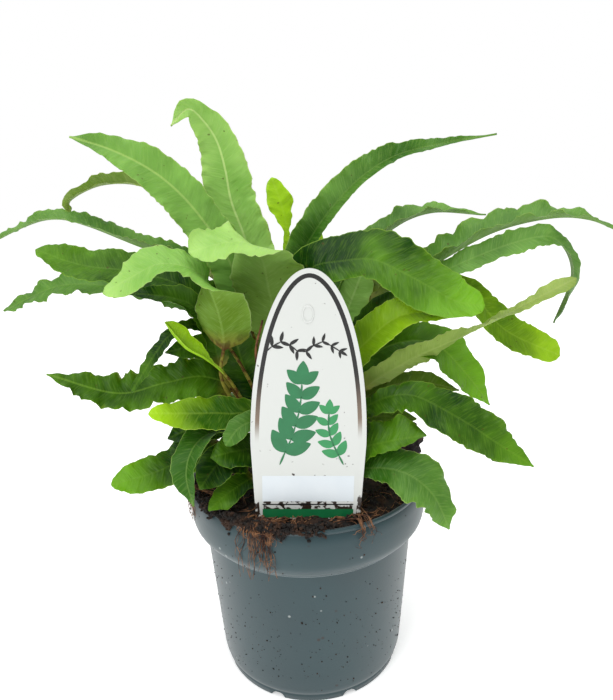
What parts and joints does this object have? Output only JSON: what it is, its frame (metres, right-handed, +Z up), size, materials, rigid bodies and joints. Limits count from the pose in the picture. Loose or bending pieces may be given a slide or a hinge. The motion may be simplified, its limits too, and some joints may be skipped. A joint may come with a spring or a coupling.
{
  "type": "potted hart's tongue fern",
  "caption": "Hart's tongue fern: a rosette of arching strap-shaped fronds rooted in peat in a round tapering nursery pot, with a plant label at the front.",
  "frame": {"origin": "centre of the flat pad under the pot, on the surface it stands on", "axes": "+Z up along the pot's axis, -Y towards the front where the label stands, +X to the right of the front view"},
  "size_m": [0.3304, 0.1666, 0.2957],
  "materials": {
    "pot_plastic": "moulded polypropylene with a satin surface",
    "peat": "moist peat with fine roots",
    "rhizome": "scaly brown rhizome and old stalks",
    "roots": "reddish-brown root fibres",
    "label_plastic": null,
    "leaf_pale": "pale glossy upper side",
    "leaf_mid": "mid-green glossy blade with fine side veins",
    "leaf_dark": "deep green glossy blade",
    "leaf_olive": "matt olive underside shown to the front",
    "leaf_lime": "bright young blade"
  },
  "bodies": {
    "root": {"pot": "pot_plastic", "root_ball": "peat", "crown": "rhizome", "plant_label": "label_plastic", "peat_lump": "peat", "old_stipe": "rhizome", "root_tuft_front_left": "roots", "root_tuft_left": "roots", "root_tuft_front": "roots", "frond_tall_upright": "leaf_pale", "frond_left_blade": "leaf_mid", "frond_curled_over": "leaf_pale", "frond_left_folded": "leaf_pale", "frond_left_rolled_dark": "leaf_dark", "frond_left_middle": "leaf_dark", "frond_left_scalloped": "leaf_mid", "frond_left_long_arch": "leaf_mid", "frond_small_arch": "leaf_olive", "frond_left_low_wavy": "leaf_dark", "frond_left_narrow_strap": "leaf_dark", "frond_left_low_dark": "leaf_dark", "frond_young_rolled": "leaf_lime", "frond_left_lime": "leaf_lime", "frond_left_low_green": "leaf_dark", "frond_left_drooping": "leaf_mid", "frond_left_dark_pocket": "leaf_dark", "frond_left_dark_front": "leaf_dark", "frond_left_front_small": "leaf_mid", "frond_left_front_low": "leaf_dark", "frond_left_low_droop": "leaf_dark", "frond_left_dark_upright": "leaf_dark", "frond_young_twisted": "leaf_lime", "frond_young_small": "leaf_lime", "frond_right_upper_long": "leaf_mid", "frond_right_second": "leaf_mid", "frond_right_long": "leaf_mid", "frond_right_hooked": "leaf_mid", "frond_right_pale_straight": "leaf_olive", "frond_right_broad": "leaf_dark", "frond_right_lime_under": "leaf_lime", "frond_right_dark_under": "leaf_dark", "frond_right_lime_hanging": "leaf_lime", "frond_right_broad_low": "leaf_dark", "frond_right_grey_curled": "leaf_olive", "frond_right_low_front": "leaf_dark", "frond_right_drooping": "leaf_mid", "frond_right_pale_behind_label": "leaf_pale", "frond_right_dark_rolled": "leaf_dark", "frond_right_dark_small": "leaf_dark", "frond_right_under_grey": "leaf_olive", "frond_back_1": "leaf_mid", "frond_back_2": "leaf_dark", "frond_back_3": "leaf_dark", "frond_back_4": "leaf_mid", "frond_back_5": "leaf_dark", "frond_back_6": "leaf_mid", "frond_back_7": "leaf_mid", "frond_back_8": "leaf_dark", "frond_back_9": "leaf_dark", "frond_back_10": "leaf_mid"}
  },
  "joints": []
}
